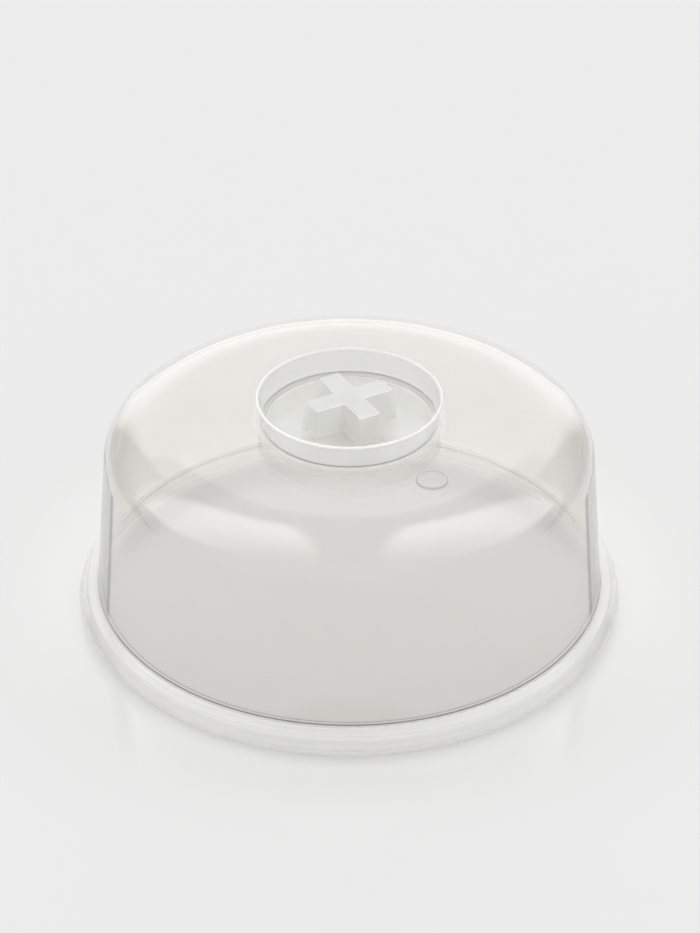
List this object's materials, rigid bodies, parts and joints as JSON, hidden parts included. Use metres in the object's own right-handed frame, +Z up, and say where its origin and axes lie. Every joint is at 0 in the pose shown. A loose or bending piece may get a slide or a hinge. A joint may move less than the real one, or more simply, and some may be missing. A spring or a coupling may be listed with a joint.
{
  "type": "humidity dome",
  "caption": "Clear round dome cover with a drafted wall, a beaded rim and a low dished vent knob that turns by a hollow cross grip.",
  "frame": {"origin": "on the vertical axis, level with the face that the rim stands on", "axes": "+Z up along the dome's axis; -Y is the side that faces the viewer, with the round blank to the right of it"},
  "size_m": [0.26, 0.26, 0.114],
  "materials": {
    "clear_dome": "clear moulded plastic, polished, very slightly warm grey",
    "clear_knob": "clear moulded plastic, polished",
    "clear_retainer": "clear moulded plastic"
  },
  "bodies": {
    "dome": {"dome_cover": "clear_dome"},
    "knob": {"vent_knob": "clear_knob", "knob_retainer": "clear_retainer"}
  },
  "joints": [
    {"name": "vent_turn", "type": "hinge", "parent": "dome", "child": "knob", "pos_m": [0, 0, 0.0974], "axis": [0, 0, 1], "range_deg": [0, 45]}
  ]
}
